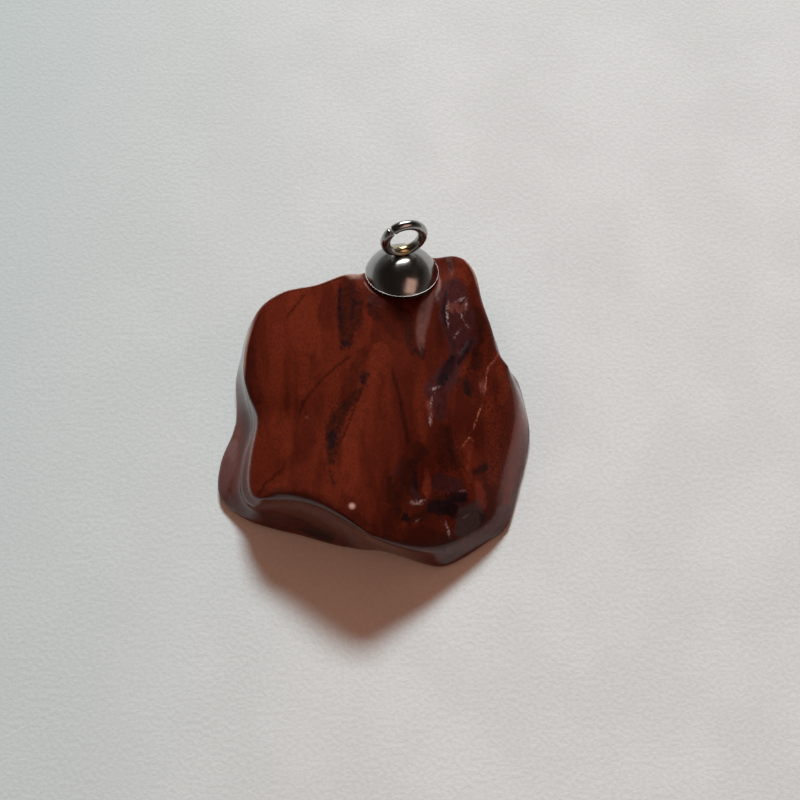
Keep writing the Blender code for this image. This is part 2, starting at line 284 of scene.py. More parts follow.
def gap_to(chain: Chain, pixels: Array) -> tuple[Array, Array, Array]:
    """Measure how far pixels are from a chain of places in the photograph.

    Args:
        chain: The places, each with how far the chain reaches round it.
        pixels: Rows of pixels.

    Returns:
        The distance to the chain's nearest leg, with a sign for the side, the reach there, and
        the distance along the chain to its nearest end.
    """
    nearest = np.full((4, len(pixels)), np.inf)
    walked = 0.0
    for start, end in zip(chain, chain[1:] or chain):
        first, leg = np.array(start[:2]), np.array(end[:2]) - np.array(start[:2])
        length = float(np.hypot(*leg))
        offset = pixels - first
        share = np.clip(offset @ leg / (length ** 2 or 1.0), 0.0, 1.0)
        away = offset - share[:, None] * leg
        side = np.where(leg[0] * offset[:, 1] - leg[1] * offset[:, 0] < 0, -1.0, 1.0)
        reach = start[2] + share * (end[2] - start[2])
        here = np.array((np.hypot(away[:, 0], away[:, 1]), side, reach, walked + share * length))
        nearest = np.where(here[0] < nearest[0], here, nearest)
        walked += length
    distance, side, reach, along = nearest
    return distance * side, reach, np.minimum(along, walked - along)


class Mark(enum.Enum):
    """The kinds of marking laid on the stone, among them painted highlights, reflections, glints and shade;
    each value is the name that the mesh carries it under.
    """

    EMBER = "ember"
    DARK_TONE_AND_PAINTED_SHADE = "shade"
    UMBER_AND_PAINTED_SHADE = "umber"
    VIOLET = "violet"
    SLATE = "slate"
    INK = "ink"
    BLUSH = "blush"
    TONGUE_PAINTED_REFLECTION = "tongue"
    SPECKLE = "speckle"
    PAINTED_SHEEN = "mauve"
    PAINTED_GLINT = "pearl"
    RUST = "rust"
    RIM_HIGHLIGHT = "rim"
    HAIR = "hair"
    VEIN = "vein"
    FLECK_AND_PAINTED_GLINT = "fleck"


@dataclass(frozen=True)
class Cover:
    """How a soft marking lies on the stone.

    Most of it shows in its middle, its edge is ragged, and the ground shows through in patches.
    """

    kind: Mark
    most: float
    ragged: float
    patchy: float


@dataclass(frozen=True)
class Line:
    """How a thin line is drawn: half its width in pixels, how much of it shows and how broken it is."""

    kind: Mark
    width: float
    most: float
    broken: float


STREAKS = (
    Cover(Mark.EMBER, 0.8, 0.9, 0.5),
    Cover(Mark.DARK_TONE_AND_PAINTED_SHADE, 0.8, 1.0, 0.5),
    Cover(Mark.UMBER_AND_PAINTED_SHADE, 1.0, 1.3, 0.45),
)
PATCHES = (
    Cover(Mark.VIOLET, 1.0, 1.1, 0.3),
    Cover(Mark.SLATE, 1.0, 0.9, 0.3),
    Cover(Mark.BLUSH, 0.85, 1.2, 0.5),
    Cover(Mark.TONGUE_PAINTED_REFLECTION, 1.0, 0.3, 0.3),
    Cover(Mark.RUST, 0.85, 0.9, 0.5),
    Cover(Mark.PAINTED_SHEEN, 0.75, 0.5, 0.3),
    Cover(Mark.INK, 1.0, 1.0, 0.3),
    Cover(Mark.PAINTED_GLINT, 1.0, 0.05, 0.1),
)
LINES = (
    Line(Mark.HAIR, 1.5, 0.6, 0.4),
    Line(Mark.VEIN, 0.9, 0.9, 0.9),
    Line(Mark.FLECK_AND_PAINTED_GLINT, 1.2, 1.0, 1.0),
)
LINE_KINDS = tuple(line.kind for line in LINES)

# Each place is a pixel with how far the marking reaches round it. Thin lines have no reach.
MARKINGS: dict[Mark, tuple[Chain, ...]] = {
    Mark.EMBER: (
        ((300, 288, 11), (301, 315, 15), (306, 338, 16)), ((278, 330, 6), (275, 400, 8), (285, 450, 8)),
        ((490, 405, 6), (492, 440, 8), (494, 480, 7)), ((305, 362, 5), (303, 394, 6)),
        ((322, 344, 2), (318, 356, 2)),
        ((380, 350, 8), (372, 380, 8), (356, 410, 8), (350, 440, 9), (350, 470, 9), (350, 492, 6)),
        ((446, 279, 4), (458, 274, 6), (467, 282, 4)), ((461, 372, 5), (468, 360, 4), (478, 352, 2)),
        ((500, 370, 4), (505, 385, 6), (502, 400, 5)), ((468, 446, 5), (468, 465, 5), (468, 480, 4)),
        ((478, 484, 4), (482, 496, 5), (482, 508, 3)), ((427, 474, 3), (427, 492, 5)),
        ((420, 415, 4), (424, 440, 4)),
    ),
    Mark.RUST: (
        ((523, 395, 4), (521, 425, 6), (515, 455, 7), (510, 480, 6), (506, 502, 4)),
        ((477, 482, 2), (480, 494, 4.5), (483, 506, 3)), ((427, 471, 2), (427, 484, 4), (427, 494, 2)),
        ((469, 452, 1), (468, 470, 1)),
    ),
    # Painted reflection of the lit table: a pale sheen along the lower ridge, the lower right edge and the
    # left bulge.
    Mark.PAINTED_SHEEN: (
        ((262, 507, 3), (280, 505, 3), (300, 506, 4), (322, 515, 4),
         (340, 527, 4), (352, 538, 4), (364, 548, 4)),
        ((503, 508, 4), (496, 523, 5), (484, 534, 5), (468, 543, 5), (450, 550, 4)),
        ((233, 445, 5), (226, 470, 8), (218, 490, 9), (228, 508, 8)),
    ),
    # Painted glint: a small bright reflection of a lamp on the lower face.
    Mark.PAINTED_GLINT: (((352, 506, 2.6),),),
    # Painted highlight along the stone's upper edge, with a painted dark line inside it.
    Mark.RIM_HIGHLIGHT: (
        ((236, 390, 3), (245, 350, 5), (262, 320, 5), (285, 295, 5), (320, 280, 5), (357, 272, 5)),
        ((470, 262, 4), (485, 288, 5), (500, 330, 5), (512, 355, 5), (524, 380, 5), (532, 420, 3)),
    ),
    Mark.DARK_TONE_AND_PAINTED_SHADE: (
        ((250, 350, 6), (251, 375, 8), (257, 400, 6)),
        ((262, 494, 6), (290, 494, 6), (318, 500, 7), (345, 517, 7), (372, 530, 8)),
        ((390, 538, 9), (420, 536, 10), (450, 545, 10)),
        # The first chain here is painted shade under the cap, over partly darker stone.
        ((368, 298, 12), (388, 310, 17), (402, 328, 14)), ((362, 352, 5), (356, 368, 6), (346, 400, 8)),
        ((397, 393, 2), (402, 412, 3), (407, 432, 3), (408, 446, 3)),
        ((418, 448, 7), (408, 464, 9), (403, 485, 10), (400, 508, 10), (388, 527, 8)),
        ((443, 430, 8), (446, 462, 9)),
        # The last chain here is painted shade on the lower flank, which faces away from the window.
        ((440, 292, 6), (437, 312, 6), (438, 330, 5), (441, 345, 3)), ((300, 524, 6), (330, 537, 7)),
    ),
    Mark.UMBER_AND_PAINTED_SHADE: (
        ((348, 288, 10), (349, 300, 13), (350, 316, 13), (347, 330, 9), (346, 344, 6)),
        ((362, 388, 3), (352, 400, 5), (340, 413, 7), (333, 428, 8), (332, 447, 6), (331, 462, 3)),
        # This chain and the first on the next line are painted shade under the cap, over partly darker stone.
        ((372, 298, 5), (376, 318, 5)),
        ((396, 304, 4), (406, 318, 6), (410, 334, 6), (413, 350, 5)), ((466, 380, 4), (469, 392, 5)),
        ((476, 350, 4), (476, 366, 6)), ((474, 310, 4), (480, 325, 6), (478, 340, 5)),
        ((447, 428, 3), (450, 448, 4), (455, 465, 4)), ((458, 508, 12), (440, 504, 10)),
        ((426, 452, 4), (412, 464, 6), (404, 478, 5), (412, 488, 5), (417, 500, 5)),
        ((396, 492, 3), (398, 512, 4)), ((388, 476, 3), (391, 500, 4)), ((428, 512, 4), (412, 521, 4)),
    ),
    Mark.VIOLET: (
        ((455, 288, 11), (454, 303, 16), (458, 322, 17), (459, 338, 14), (457, 350, 8)),
        ((472, 340, 6), (463, 352, 6), (452, 364, 9), (446, 377, 12), (436, 390, 12)),
        ((440, 398, 9), (441, 414, 7)), ((440, 482, 9), (456, 486, 9), (460, 500, 7)),
        ((396, 472, 3), (400, 468, 2)), ((413, 490, 3), (417, 498, 4)),
    ),
    Mark.SLATE: (
        ((468, 343, 2), (461, 354, 2.5)),
        ((447, 377, 2.5),),
        ((479, 504, 5), (470, 517, 14), (463, 529, 9)),
    ),
    Mark.INK: (
        ((365, 375, 3.5), (364, 382, 3.5)), ((339, 290, 1), (339, 310, 2), (341, 326, 2)),
        ((343, 345, 3), (349, 342, 2)), ((354, 300, 2), (351, 317, 2)), ((333, 435, 5), (332, 444, 4)),
        ((330, 472, 2), (334, 483, 1)), ((430, 507, 5), (440, 508, 9), (450, 508, 8)),
        ((452, 498, 6), (464, 497, 5)), ((442, 381, 5), (448, 369, 6), (453, 358, 3)),
        ((446, 292, 1), (444, 308, 2), (446, 324, 2)),
        ((405, 517, 4),),
        ((415, 474, 2), (417, 488, 2)), ((476, 472, 4), (484, 467, 4)), ((466, 383, 2), (468, 394, 2)),
        ((416, 350, 1), (421, 357, 2), (425, 351, 1)), ((471, 341, 1), (466, 352, 2), (459, 362, 2)),
        ((450, 337, 0.5), (455, 347, 0.5)), ((421, 344, 1), (423, 355, 2)),
        ((478, 512, 1), (484, 518, 2), (480, 526, 1)), ((300, 528, 2), (316, 534, 4), (332, 538, 3)),
    ),
    Mark.BLUSH: (
        ((451, 307, 4), (464, 308, 5)), ((482, 386, 3.5), (484, 390, 3)),
        ((428, 403, 2), (430, 411, 3), (430, 424, 1)),
        ((307, 417, 1),),
        ((488, 527, 0.5),),
        ((413, 503, 1), (422, 502, 1)),
    ),
    Mark.SPECKLE: (
        ((485, 330, 8), (495, 352, 4), (478, 368, 10), (492, 400, 14),
         (497, 430, 15), (497, 465, 14), (498, 500, 9)),
        ((345, 300, 14), (350, 330, 9)), ((340, 410, 12), (330, 450, 8)),
        ((448, 440, 14), (455, 500, 18), (430, 510, 14), (405, 485, 14)),
        ((460, 290, 14), (450, 330, 12)), ((476, 345, 8), (468, 365, 12), (465, 385, 12)),
    ),
    # Painted reflection: a pale strip on the scoop's wall beside the cap.
    Mark.TONGUE_PAINTED_REFLECTION: (
        ((430, 290, 4), (427, 300, 6), (424, 315, 6.5), (421, 330, 5), (421, 344, 3.5), (422, 353, 1)),
    ),
    Mark.HAIR: (
        ((352, 355), (338, 365), (325, 376), (313, 390), (303, 403), (299, 416)),
        ((305, 293), (299, 302), (290, 313), (285, 320)),
        ((258, 496), (264, 485), (273, 477), (284, 468)),
        ((392, 370), (399, 395), (404, 420), (408, 445)), ((362, 388), (350, 420), (338, 448)),
    ),
    Mark.VEIN: (
        ((498, 353), (495, 360), (488, 367), (486, 380), (484, 394)),
        ((482, 405), (477, 418), (473, 429)), ((462, 447), (470, 437), (473, 440)),
    ),
    # White flecks together with painted glints of the window on tiny edges and bumps.
    Mark.FLECK_AND_PAINTED_GLINT: (
        ((457, 301), (464, 298)), ((448, 303), (447, 315), (448, 326)), ((466, 301), (466, 308)),
        ((460, 313), (463, 319)), ((454, 338), (459, 331)), ((466, 325), (468, 327)),
        ((431, 390), (438, 387)), ((432, 397), (431, 407)), ((431, 414), (430, 425)),
        ((410, 502), (414, 501)), ((418, 503), (424, 500)), ((412, 504), (421, 504)),
        ((463, 518), (468, 515)), ((415, 522), (418, 520)), ((446, 523), (450, 537)),
        ((461, 491), (463, 491)), ((351, 506), (353, 506)),
    ),
}

# The same for the edges that the maker polished round.
SOFT_EDGES = (
    ((272, 501, 6), (300, 504, 9), (312, 509, 9), (332, 521, 9), (348, 533, 9), (364, 546, 9)),
    ((512, 376, 7), (516, 395, 10), (516, 415, 15), (513, 440, 17), (507, 470, 17), (502, 495, 18),
     (496, 518, 17), (478, 530, 16), (460, 543, 15), (440, 550, 13), (420, 552, 11), (400, 549, 9),
     (380, 545, 8)),
    ((362, 284, 5), (372, 297, 5), (390, 304, 5), (412, 304, 5), (430, 298, 6), (440, 282, 8), (434, 262, 7)),
)


class JasperBench(FinishBench):
    """The bench of the stone's material, with the patterns that break its markings up."""

    LINE_WANDER = 5.0

    def __init__(self, ground: Colour) -> None:
        """Start the stone's material and wire up the patterns.

        Args:
            ground: Its lowest colour.
        """
        super().__init__("jasper_polish", ground)
        edges = Pattern(1.6, 7.0, 0.72, 0.5, (1.0, 0.7, 1.0), (0.0, 0.0, 30.0), (40.0, 0.0, 0.0))
        self.mottles = self.cloud(Pattern(1.3, 6.0, 0.70, 0.8))
        self.grains = self.cloud(Pattern(5.5, 4.0, 0.65, stretch=(1.0, 0.6, 1.0), turn=(0.0, 0.0, 22.0)))
        self.edges = self.cloud(edges)

    def shaken(self, name: str, ragged: float) -> Socket:
        """Give a number that the mesh carries, shaken by the edges' pattern as far as ragged says."""
        moved = self.reckon("MULTIPLY_ADD", self.edges, ragged, self.read(name))
        return self.reckon("SUBTRACT", moved, ragged / 2)

    def cover(self, cover: Cover, over: Feed) -> None:
        """Lay one kind of soft marking over the colours so far.

        Args:
            cover: The kind, and how it lies.
            over: Its colour.
        """
        inside = self.band(self.shaken(cover.kind.value, cover.ragged), 0.36, 0.66, end=cover.most)
        patches = self.band(self.mottles, 0.36, 0.60, 1.0, 1.0 - cover.patchy)
        self.lay(self.product(inside, patches), over)

    def draw(self, line: Line, over: Colour) -> None:
        """Draw one kind of thin line over the colours so far.

        Args:
            line: The kind, and how it is drawn.
            over: Its colour.
        """
        gap = self.reckon("ABSOLUTE", self.shaken(line.kind.value + "_gap", self.LINE_WANDER))
        near = self.band(gap, line.width * 0.3, line.width * 1.7, line.most, 0.0)
        breaks = self.band(self.grains, 0.44, 0.56, start=1.0 - line.broken)
        self.lay(self.product(near, breaks, self.read(line.kind.value + "_on")), over)

    def speckle(self, over: Colour) -> None:
        """Strew fine dots of a colour where the mesh carries speckles."""
        strewn = self.band(self.shaken(Mark.SPECKLE.value, 0.8), 0.3, 0.7, 0.35, 0.80)
        self.lay(self.product(self.band(self.grains, 0.50, 0.60), strewn), over)

    def rim(self, dark: Colour, pale: Colour) -> None:
        """Draw a pale painted highlight along the upper edge, with a painted dark line of reflected room
        inside it.

        Args:
            dark: Colour of the inner, painted dark line.
            pale: Colour of the outer, painted highlight.
        """
        upward = self.axis(self.add("ShaderNodeNewGeometry").outputs["Normal"], "Z")
        along = self.band(self.read(Mark.RIM_HIGHLIGHT.value), 0.3, 0.6)
        inner = self.product(self.band(upward, 0.985, 0.95), self.band(upward, 0.80, 0.90, end=0.7))
        self.lay(self.product(inner, along), dark)
        outer = self.product(self.band(upward, 0.92, 0.72), self.band(upward, 0.26, 0.42))
        self.lay(self.product(outer, along, self.band(self.edges, 0.30, 0.50, start=0.5)), pale)


@dataclass(frozen=True)
class JasperFinish:
    """Polished red jasper: brick red with soft streaks, and the markings that the mesh carries, some of them
    painted highlights, reflections and shade.
    """

    brick: Colour = (0.110, 0.0148, 0.0062)
    deep: Colour = (0.066, 0.0088, 0.0042)
    ember: Colour = (0.142, 0.0200, 0.0080)
    # darker red, also used as painted shade under the cap and on the lower flank
    shade: Colour = (0.034, 0.0056, 0.0033)
    # also used as painted shade under the cap
    umber: Colour = (0.026, 0.0058, 0.0042)
    violet: Colour = (0.050, 0.0145, 0.0165)
    slate: Colour = (0.062, 0.0440, 0.0480)
    ink: Colour = (0.010, 0.0046, 0.0060)
    blush: Colour = (0.170, 0.0460, 0.0370)
    # colour of the painted reflection on the scoop's wall
    tongue: Colour = (0.120, 0.0470, 0.0400)
    hair: Colour = (0.014, 0.0035, 0.0025)
    vein: Colour = (0.360, 0.1050, 0.0680)
    # colour of the white flecks and painted glints
    fleck: Colour = (0.330, 0.2300, 0.2200)
    rust: Colour = (0.205, 0.0310, 0.0165)
    # colour of the painted sheen reflected in the edges
    mauve: Colour = (0.130, 0.0620, 0.0600)
    # colour of the painted glint
    pearl: Colour = (0.620, 0.3600, 0.2900)
    # colour of the painted highlight along the upper edge
    edge: Colour = (0.300, 0.1600, 0.1200)
    streaks: Pattern = Pattern(0.42, 6.0, 0.60, 0.5, (1.0, 0.26, 0.5), (0.0, 0.0, 22.0))
    middle: Pair = (-4.0, 4.0)
    right_shade: float = 0.07
    polish: Pair = (0.11, 0.18)
    grain_depth: float = 0.0012
    refraction: float = 1.42

    def tone(self, kind: Mark) -> Colour:
        """Give a marking's colour, which is the field that has the kind's name."""
        return getattr(self, kind.value)

    def material(self) -> Material:
        """Mix the stone's material.

        Returns:
            The material.
        """
        bench = JasperBench(self.deep)
        darker = bench.band(bench.axis(bench.place, "X"), *self.middle, end=self.right_shade)
        streaks = bench.reckon("SUBTRACT", bench.cloud(self.streaks), darker)
        bench.lay(bench.band(streaks, 0.34, 0.58), self.brick)
        bench.lay(bench.band(bench.mottles, 0.52, 0.72, end=0.6), self.deep)
        bench.lay(bench.band(bench.mottles, 0.46, 0.28, end=0.5), self.ember)
        for cover in STREAKS:
            bench.cover(cover, self.tone(cover.kind))
        bench.speckle(self.umber)
        clouded = {
            Mark.VIOLET: bench.blend(bench.band(bench.edges, 0.52, 0.40, end=0.75), self.violet, self.umber),
            Mark.SLATE: bench.blend(bench.band(bench.edges, 0.46, 0.34, end=0.60), self.slate, self.ink),
        }
        for cover in PATCHES:
            bench.cover(cover, clouded.get(cover.kind, self.tone(cover.kind)))
        for line in LINES:
            bench.draw(line, self.tone(line.kind))
        # Painted highlight and painted dark line along the upper edge.
        bench.rim(self.shade, self.edge)
        rough = bench.band(bench.mottles, 0.3, 0.8, *self.polish)
        return bench.surface(rough, bench.grains, self.grain_depth, {"IOR": self.refraction})


@dataclass(frozen=True)
class PlatedFinish:
    """Silver-coloured plating, bright but a little worn, with brass where the wire has rubbed."""

    silver: Colour = (0.41, 0.405, 0.39)
    tarnish: Colour = (0.33, 0.32, 0.30)
    brass: Colour = (0.62, 0.50, 0.26)
    clouds: Pattern = Pattern(0.9, 4.0, 0.6)
    scratches: Pattern = Pattern(2.0, 2.0, 0.5, stretch=(9.0, 1.2, 2.5), turn=(20.0, 35.0, 50.0))
    scratch_depth: float = 0.0015
    duller: float = 0.08
    worn_reach: float = 1.3
    worn_full: float = 0.6
    worn_wander: float = 0.8

    def material(self, name: str, polish: float, worn_at: Vector | None = None) -> Material:
        """Mix the plating.

        Args:
            name: Name of the material.
            polish: Its roughness where it is brightest.
            worn_at: Middle of the place where brass shows, in metres, if there is one.

        Returns:
            The material.
        """
        bench = FinishBench(name, self.silver)
        clouds = bench.cloud(self.clouds)
        bench.lay(bench.band(clouds, 0.50, 0.72, end=0.45), self.tarnish)
        if worn_at is not None:
            ends = {0: bench.place, 1: tuple(worn_at / MM)}
            away = bench.add("ShaderNodeVectorMath", ends, operation="DISTANCE").outputs["Value"]
            away = bench.reckon("MULTIPLY_ADD", clouds, self.worn_wander, away)
            limits = (self.worn_reach * share + self.worn_wander / 2 for share in (self.worn_full, 1.0))
            bench.lay(bench.band(away, *limits, 1.0, 0.0), self.brass)
        rough = bench.band(clouds, 0.35, 0.75, polish, polish + self.duller)
        return bench.surface(rough, bench.cloud(self.scratches), self.scratch_depth, {"Metallic": 1.0})


@dataclass(frozen=True)
class FloorFinish:
    """A plain pale table top with a fine pebbled grain, with painted shade that makes it darker and cooler
    towards its left end.
    """

    pale: Colour = (0.670, 0.670, 0.660)
    shade: Colour = (0.637, 0.637, 0.627)
    # painted shade towards the left end, where the light falls off
    left: Colour = (0.490, 0.550, 0.548)
    # painted shade in the grain's pits
    painted_pit_shade: Colour = (0.380, 0.370, 0.350)
    grain: Pattern = Pattern(2.1, 3.0, 0.55)
    wide: Pattern = Pattern(0.08, 2.0, 0.5)
    painted_falloff_from: Pair = (15.0, -70.0)
    grain_depth: float = 0.055
    rough: float = 0.55

    def material(self) -> Material:
        """Mix the table's material.

        Returns:
            The material.
        """
        bench = FinishBench("pale_table", self.pale)
        grain = bench.cloud(self.grain)
        bench.lay(bench.band(bench.cloud(self.wide), 0.35, 0.65), self.shade)
        # Painted shade: darker and cooler towards the left end.
        bench.lay(bench.band(bench.axis(bench.place, "X"), *self.painted_falloff_from), self.left)
        # Painted shade in the grain's pits, standing in for the shading of its relief.
        bench.lay(bench.band(grain, 0.62, 0.38, end=0.12), self.painted_pit_shade)
        sheen = {"IOR": 1.45, "Specular IOR Level": 0.3}
        return bench.surface(self.rough, grain, self.grain_depth, sheen)


@dataclass(frozen=True)
class Seat:
    """The flat on the stone's upper end that carries the cap and the loop."""

    middle: Point = (0.003112, 0.014435, 0.0079)
    axis: Point = (0.02, 0.429, 0.903)

    def frame(self, turn: float = 0.0) -> Matrix:
        """Give the seat's own frame, with Z along the cap's axis.

        Args:
            turn: Turn about that axis in degrees.

        Returns:
            The matrix from the seat's frame to the pendant's.
        """
        upward = Vector(self.axis).normalized()
        sideways = (Vector((1.0, 0.0, 0.0)) - upward * upward.x).normalized()
        rotation = Matrix((sideways, upward.cross(sideways), upward)).transposed().to_4x4()
        return Matrix.Translation(self.middle) @ rotation @ Matrix.Rotation(math.radians(turn), 4, "Z")

    def from_axis(self, places: Array) -> Array:
        """Give how far places, in rows of x, y and z, are from the axis."""
        axis, offset = np.array(self.frame().col[2][:3]), places - np.array(self.middle)
        return np.linalg.norm(offset - np.outer(offset @ axis, axis), axis=1)


class GrowthBench(Bench):
    """A bench for a geometry tree, whose group inputs have names."""

    def __init__(self, name: str, inputs: dict[str, str]) -> None:
        """Start a geometry tree.

        Args:
            name: Its name.
            inputs: The kind of socket of each input, besides the mesh and the finish.
        """
        super().__init__(bpy.data.node_groups.new(name, "GeometryNodeTree"))
        sockets = self.tree.interface
        sockets.new_socket("Geometry", in_out="OUTPUT", socket_type="NodeSocketGeometry")
        for label, kind in {"Geometry": "Geometry", **inputs, "Finish": "Material"}.items():
            sockets.new_socket(label, in_out="INPUT", socket_type="NodeSocket" + kind)
        self.given = self.add("NodeGroupInput").outputs

    def grown(self, kind: str, inputs: dict[str, Feed], **settings: Any) -> Socket:
        """Put a geometry node on the bench and give its first output."""
        return self.add("GeometryNode" + kind, inputs, **settings).outputs[0]

    def close(self, mesh: Socket) -> bpy.types.NodeTree:
        """End the tree: merge, make real and give the finish.

        Args:
            mesh: Socket of the mesh so far.

        Returns:
            The finished tree.
        """
        merged = self.grown("MergeByDistance", {"Geometry": mesh, "Distance": SAME_PLACE})
        real = self.grown("RealizeInstances", {"Geometry": merged})
        given = self.grown("SetMaterial", {"Geometry": real, "Material": self.given["Finish"]})
        self.add("NodeGroupOutput", {"Geometry": given})
        return self.tree


def turned_tree() -> bpy.types.NodeTree:
    """Build the tree that turns a profile about the Z axis, as on a lathe.

    Returns:
        The geometry tree.
    """
    bench = GrowthBench("turned_piece", {"Around": "Int", "Reach": "Float"})
    given = bench.given
    profile = bench.grown("MeshToCurve", {"Mesh": given["Geometry"]})
    circle = {"Resolution": given["Around"], "Radius": given["Reach"]}
    path = bench.grown("SetCurveNormal", {"Curve": bench.grown("CurvePrimitiveCircle", circle)}, mode="Z_UP")
    return bench.close(bench.grown("CurveToMesh", {"Curve": path, "Profile Curve": profile}))


def wire_tree() -> bpy.types.NodeTree:
    """Build the tree that bends a round wire into an open ring with eased ends.

    Returns:
        The geometry tree.
    """
    lengths = ("Ring radius", "Wire radius", "Start", "Sweep", "Easing", "End width")
    kinds = {**dict.fromkeys(lengths, "Float"), **dict.fromkeys(("Along", "Sides"), "Int")}
    bench = GrowthBench("bent_wire", kinds)
    given = bench.given
    arc = {
        "Resolution": given["Along"], "Radius": given["Ring radius"],
        "Start Angle": given["Start"], "Sweep Angle": given["Sweep"],
    }
    share = bench.add("GeometryNodeSplineParameter").outputs["Factor"]
    to_end = bench.reckon("MINIMUM", share, bench.reckon("SUBTRACT", 1.0, share))
    eased = bench.reckon("MINIMUM", bench.reckon("DIVIDE", to_end, given["Easing"]), 1.0)
    rest = bench.reckon("SUBTRACT", 1.0, eased)
    round_end = bench.reckon("SQRT", bench.reckon("SUBTRACT", 1.0, bench.product(rest, rest)))
    rise = bench.reckon("SUBTRACT", 1.0, given["End width"])
    width = bench.reckon("MULTIPLY_ADD", round_end, rise, given["End width"])
    circle = {"Resolution": given["Sides"], "Radius": given["Wire radius"]}
    section = bench.grown("CurvePrimitiveCircle", circle)
    ring = bench.grown("CurveArc", arc)
    sweep = {"Curve": ring, "Profile Curve": section, "Scale": width, "Fill Caps": True}
    return bench.close(bench.grown("CurveToMesh", sweep))


class Workshop:
    """The jobs that every piece of the pendant needs."""

    def settle(self, mesh: Mesh, name: str, material: Material) -> Piece:
        """Make a finished mesh a piece of the scene.

        Args:
            mesh: The piece's mesh, in its place.
            name: The piece's name.
            material: Its finish.

        Returns:
            The new object.
        """
        mesh.name = name
        mesh.materials.clear()
        mesh.materials.append(material)
        mesh.shade_smooth()
        logger.info("%s: %d vertices, %d faces", name, len(mesh.vertices), len(mesh.polygons))
        return new_object(name, mesh)

    def bake(self, source: Piece) -> Mesh:
        """Turn an object with live modifiers into a plain mesh.

        Args:
            source: The object, which is removed.

        Returns:
            The mesh.
        """
        bpy.context.view_layer.update()
        graph = bpy.context.evaluated_depsgraph_get()
        mesh = bpy.data.meshes.new_from_object(source.evaluated_get(graph))
        bpy.data.objects.remove(source, do_unlink=True)
        return mesh

    def grow(self, tree: bpy.types.NodeTree, start: Mesh, sizes: dict[str, Any]) -> Mesh:
        """Run a geometry tree on a mesh.

        Args:
            tree: The geometry tree.
            start: The mesh that it starts from.
            sizes: Values of its inputs by name.

        Returns:
            The mesh that it gives.
        """
        source = new_object("source", start)
        modifier = source.modifiers.new("grow", "NODES")
        modifier.node_group = tree
        for item in tree.interface.items_tree:
            if item.in_out == "INPUT" and item.name in sizes:
                modifier[item.identifier] = sizes[item.name]
        source.update_tag()
        return self.bake(source)

    def turn(self, profile: Profile, closed: bool, reach: float, around: int, material: Material) -> Mesh:
        """Turn a profile on the lathe.

        Args:
            profile: Radius and height of its points, in millimetres.
            closed: Whether its last point joins its first.
            reach: Radius on which the lathe carries the profile, in millimetres.
            around: Number of steps round the axis.
            material: The finish.

        Returns:
            The turned mesh, with the axis along Z.
        """
        count = len(profile)
        points = [((radius - reach) * MM, -height * MM, 0.0) for radius, height in profile]
        edges = [(index, (index + 1) % count) for index in range(count if closed else count - 1)]
        mesh = bpy.data.meshes.new("profile")
        mesh.from_pydata(points, edges, [])
        return self.grow(turned_tree(), mesh, {"Around": around, "Reach": reach * MM, "Finish": material})

    def stand(self, mesh: Mesh, place: Matrix) -> Mesh:
        """Move a closed mesh to its place and make it sound.

        Args:
            mesh: The mesh, which is changed.
            place: The matrix to its place.

        Returns:
            The same mesh, without doubles and with its faces outwards.
        """
        mesh.transform(place)
        shape = bmesh.new()
        shape.from_mesh(mesh)
        bmesh.ops.remove_doubles(shape, verts=shape.verts, dist=SAME_PLACE)
        bmesh.ops.recalc_face_normals(shape, faces=shape.faces)
        shape.to_mesh(mesh)
        shape.free()
        return mesh


